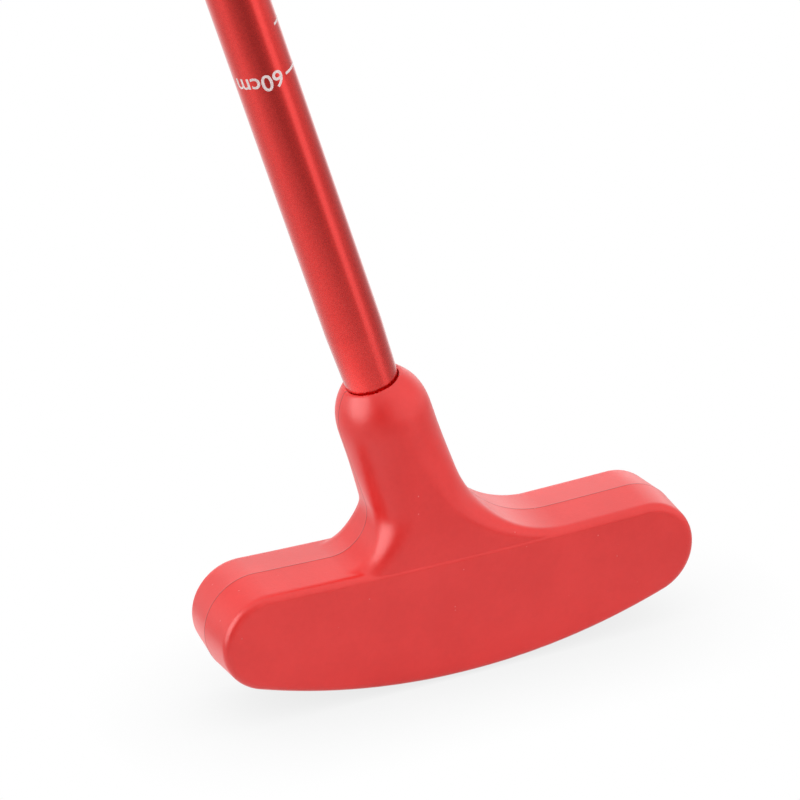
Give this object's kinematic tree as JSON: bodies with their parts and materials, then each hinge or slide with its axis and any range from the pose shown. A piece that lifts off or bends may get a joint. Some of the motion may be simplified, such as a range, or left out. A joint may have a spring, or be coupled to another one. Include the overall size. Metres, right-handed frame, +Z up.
{
  "type": "two-way golf putter",
  "caption": "Two-way golf putter: a moulded rubber head with a striking face on both sides, on a telescopic tube shaft with a length scale, a lever clamp and a rubber grip.",
  "frame": {"origin": "on the shaft's axis in the middle of the grip, where the hands hold the club", "axes": "+Z up with the sole on the ground, +X from the heel to the toe along the head, +Y from the front face to the back face. The shaft leans 15.35 degrees from +Z towards -X."},
  "size_m": [0.2615, 0.0365, 0.7264],
  "materials": {
    "red_rubber": "matte moulded red rubber",
    "core_steel": "plain mild steel",
    "red_anodised": "satin red anodised, with a pale printed scale on the lower tube",
    "plug_aluminium": "turned",
    "guide_plastic": "moulded black acetal",
    "screw_steel": "zinc plated",
    "clamp_plastic": "fine moulded texture",
    "nut_aluminium": "turned and knurled",
    "washer_brass": "turned",
    "lever_plastic": "satin moulded",
    "tape_paper": "creped paper tape",
    "grip_rubber": "matte textured black rubber",
    "cap_rubber": "matte black rubber"
  },
  "bodies": {
    "handle": {"upper_tube": "red_anodised", "mouth_bush": "guide_plastic", "clamp_collar": "clamp_plastic", "clamp_bolt": "screw_steel", "cam_washer": "washer_brass", "lever_pin": "screw_steel", "grip_tape": "tape_paper", "grip": "grip_rubber", "butt_cap": "cap_rubber"},
    "lever": {"clamp_lever": "lever_plastic"},
    "nut": {"thumb_nut": "nut_aluminium"},
    "guide": {"guide_bush": "guide_plastic"},
    "head": {"rubber_head": "red_rubber", "weight_bar": "core_steel", "hosel_post": "core_steel", "core_pin": "core_steel", "lower_tube": "red_anodised", "end_plug": "plug_aluminium", "guide_washer": "screw_steel", "guide_screw": "screw_steel"}
  },
  "joints": [
    {"name": "length_slide", "type": "slide", "parent": "handle", "child": "guide", "axis": [0.2647, 0, -0.9643], "range_m": [-0.15, 0.15]},
    {"name": "head_turn", "type": "hinge", "parent": "guide", "child": "head", "pos_m": [0.01443, 0, -0.05256], "axis": [-0.2647, 0, 0.9643], "continuous": true},
    {"name": "lever_swing", "type": "hinge", "parent": "handle", "child": "lever", "pos_m": [0.09871, 0.01483, -0.30858], "axis": [-0.2647, 0, 0.9643], "range_deg": [0, 150]},
    {"name": "nut_turn", "type": "hinge", "parent": "handle", "child": "nut", "pos_m": [0.07691, 0.01483, -0.31456], "axis": [0.9643, 0, 0.2647], "range_deg": [-180, 180]}
  ]
}
